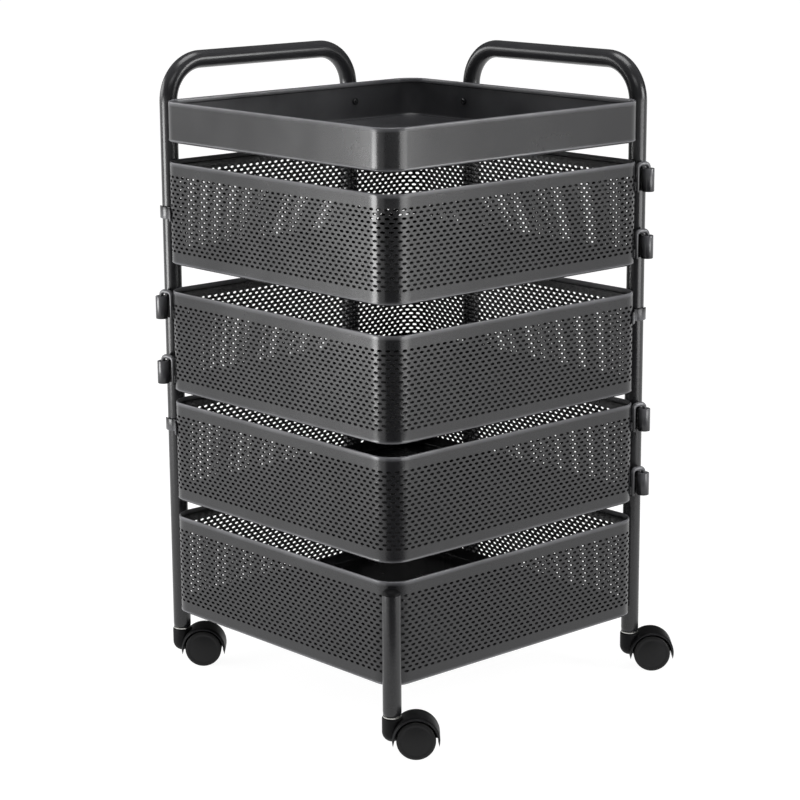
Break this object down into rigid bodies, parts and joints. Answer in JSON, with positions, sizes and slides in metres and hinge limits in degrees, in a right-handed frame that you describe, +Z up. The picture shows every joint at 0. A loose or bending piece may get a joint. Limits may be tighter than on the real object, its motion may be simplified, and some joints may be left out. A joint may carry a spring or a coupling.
{
  "type": "rolling basket trolley",
  "caption": "Square rolling storage trolley: a tray over stacked perforated baskets between two bent-tube frames with handle tops, middle baskets swing out on hook hinges, twin-wheel casters.",
  "frame": {"origin": "on the floor, under the middle of the trolley's outline", "axes": "+Z up; the front corner with the short leg points to +X and -Y, the left frame stands on the -X side and the right frame on the +Y side"},
  "size_m": [0.449, 0.4502, 0.7125],
  "materials": {
    "powder_coat": "satin black powder coat on steel",
    "black_plastic": "satin moulded black plastic",
    "wheel_plastic": "smooth black nylon wheel",
    "zinc_steel": "bright zinc-plated steel"
  },
  "bodies": {
    "tower": {"left_side_frame": "powder_coat", "right_side_frame": "powder_coat", "front_leg": "powder_coat", "front_leg_cap": "black_plastic", "top_tray": "powder_coat", "bottom_basket": "powder_coat", "second_upper_sleeve": "powder_coat", "second_lower_sleeve": "powder_coat", "third_upper_sleeve": "powder_coat", "third_lower_sleeve": "powder_coat", "fourth_upper_sleeve": "powder_coat", "fourth_lower_sleeve": "powder_coat", "tray_screw_left_front": "powder_coat", "tray_screw_left_rear": "powder_coat", "tray_screw_right_front": "powder_coat", "tray_screw_right_rear": "powder_coat", "base_screw_left_front": "powder_coat", "base_screw_left_rear": "powder_coat", "base_screw_right_front": "powder_coat", "base_screw_right_rear": "powder_coat", "base_screw_front_leg": "powder_coat", "left_front_caster_stem": "zinc_steel", "left_rear_caster_stem": "zinc_steel", "right_front_caster_stem": "zinc_steel", "right_rear_caster_stem": "zinc_steel", "front_leg_caster_stem": "zinc_steel"},
    "second_basket_body": {"second_basket": "powder_coat", "second_upper_hook": "powder_coat", "second_lower_hook": "powder_coat", "second_catch_clip": "powder_coat"},
    "third_basket_body": {"third_basket": "powder_coat", "third_upper_hook": "powder_coat", "third_lower_hook": "powder_coat", "third_catch_clip": "powder_coat"},
    "fourth_basket_body": {"fourth_basket": "powder_coat", "fourth_upper_hook": "powder_coat", "fourth_lower_hook": "powder_coat", "fourth_catch_clip": "powder_coat"},
    "left_front_hood": {"left_front_caster_hood": "black_plastic"},
    "left_front_wheels": {"left_front_caster_axle": "zinc_steel", "left_front_caster_near_wheel": "wheel_plastic", "left_front_caster_far_wheel": "wheel_plastic"},
    "left_rear_hood": {"left_rear_caster_hood": "black_plastic"},
    "left_rear_wheels": {"left_rear_caster_axle": "zinc_steel", "left_rear_caster_near_wheel": "wheel_plastic", "left_rear_caster_far_wheel": "wheel_plastic"},
    "right_front_hood": {"right_front_caster_hood": "black_plastic"},
    "right_front_wheels": {"right_front_caster_axle": "zinc_steel", "right_front_caster_near_wheel": "wheel_plastic", "right_front_caster_far_wheel": "wheel_plastic"},
    "right_rear_hood": {"right_rear_caster_hood": "black_plastic"},
    "right_rear_wheels": {"right_rear_caster_axle": "zinc_steel", "right_rear_caster_near_wheel": "wheel_plastic", "right_rear_caster_far_wheel": "wheel_plastic"},
    "front_leg_hood": {"front_leg_caster_hood": "black_plastic"},
    "front_leg_wheels": {"front_leg_caster_axle": "zinc_steel", "front_leg_caster_near_wheel": "wheel_plastic", "front_leg_caster_far_wheel": "wheel_plastic"}
  },
  "joints": [
    {"name": "second_basket_swing", "type": "hinge", "parent": "tower", "child": "second_basket_body", "pos_m": [0.17469, 0.17641, 0.47951], "axis": [0, 0, 1], "range_deg": [0, 180]},
    {"name": "third_basket_swing", "type": "hinge", "parent": "tower", "child": "third_basket_body", "pos_m": [-0.21171, -0.20999, 0.33401], "axis": [0, 0, 1], "range_deg": [-180, 0]},
    {"name": "fourth_basket_swing", "type": "hinge", "parent": "tower", "child": "fourth_basket_body", "pos_m": [0.17469, 0.17641, 0.20651], "axis": [0, 0, 1], "range_deg": [0, 180]},
    {"name": "left_front_swivel", "type": "hinge", "parent": "tower", "child": "left_front_hood", "pos_m": [-0.21171, -0.1929, 0], "axis": [0, 0, 1], "continuous": true},
    {"name": "left_front_roll", "type": "hinge", "parent": "left_front_hood", "child": "left_front_wheels", "pos_m": [-0.19498, -0.17432, 0.021], "axis": [-0.7431, 0.6691, 0], "continuous": true},
    {"name": "left_rear_swivel", "type": "hinge", "parent": "tower", "child": "left_rear_hood", "pos_m": [-0.21171, 0.07311, 0], "axis": [0, 0, 1], "continuous": true},
    {"name": "left_rear_roll", "type": "hinge", "parent": "left_rear_hood", "child": "left_rear_wheels", "pos_m": [-0.19498, 0.09168, 0.021], "axis": [-0.7431, 0.6691, 0], "continuous": true},
    {"name": "right_front_swivel", "type": "hinge", "parent": "tower", "child": "right_front_hood", "pos_m": [0.15759, 0.17641, 0], "axis": [0, 0, 1], "continuous": true},
    {"name": "right_front_roll", "type": "hinge", "parent": "right_front_hood", "child": "right_front_wheels", "pos_m": [0.17432, 0.19498, 0.021], "axis": [-0.7431, 0.6691, 0], "continuous": true},
    {"name": "right_rear_swivel", "type": "hinge", "parent": "tower", "child": "right_rear_hood", "pos_m": [-0.10841, 0.17641, 0], "axis": [0, 0, 1], "continuous": true},
    {"name": "right_rear_roll", "type": "hinge", "parent": "right_rear_hood", "child": "right_rear_wheels", "pos_m": [-0.09168, 0.19498, 0.021], "axis": [-0.7431, 0.6691, 0], "continuous": true},
    {"name": "front_leg_swivel", "type": "hinge", "parent": "tower", "child": "front_leg_hood", "pos_m": [0.17826, -0.21356, 0], "axis": [0, 0, 1], "continuous": true},
    {"name": "front_leg_roll", "type": "hinge", "parent": "front_leg_hood", "child": "front_leg_wheels", "pos_m": [0.19498, -0.19498, 0.021], "axis": [-0.7431, 0.6691, 0], "continuous": true}
  ]
}
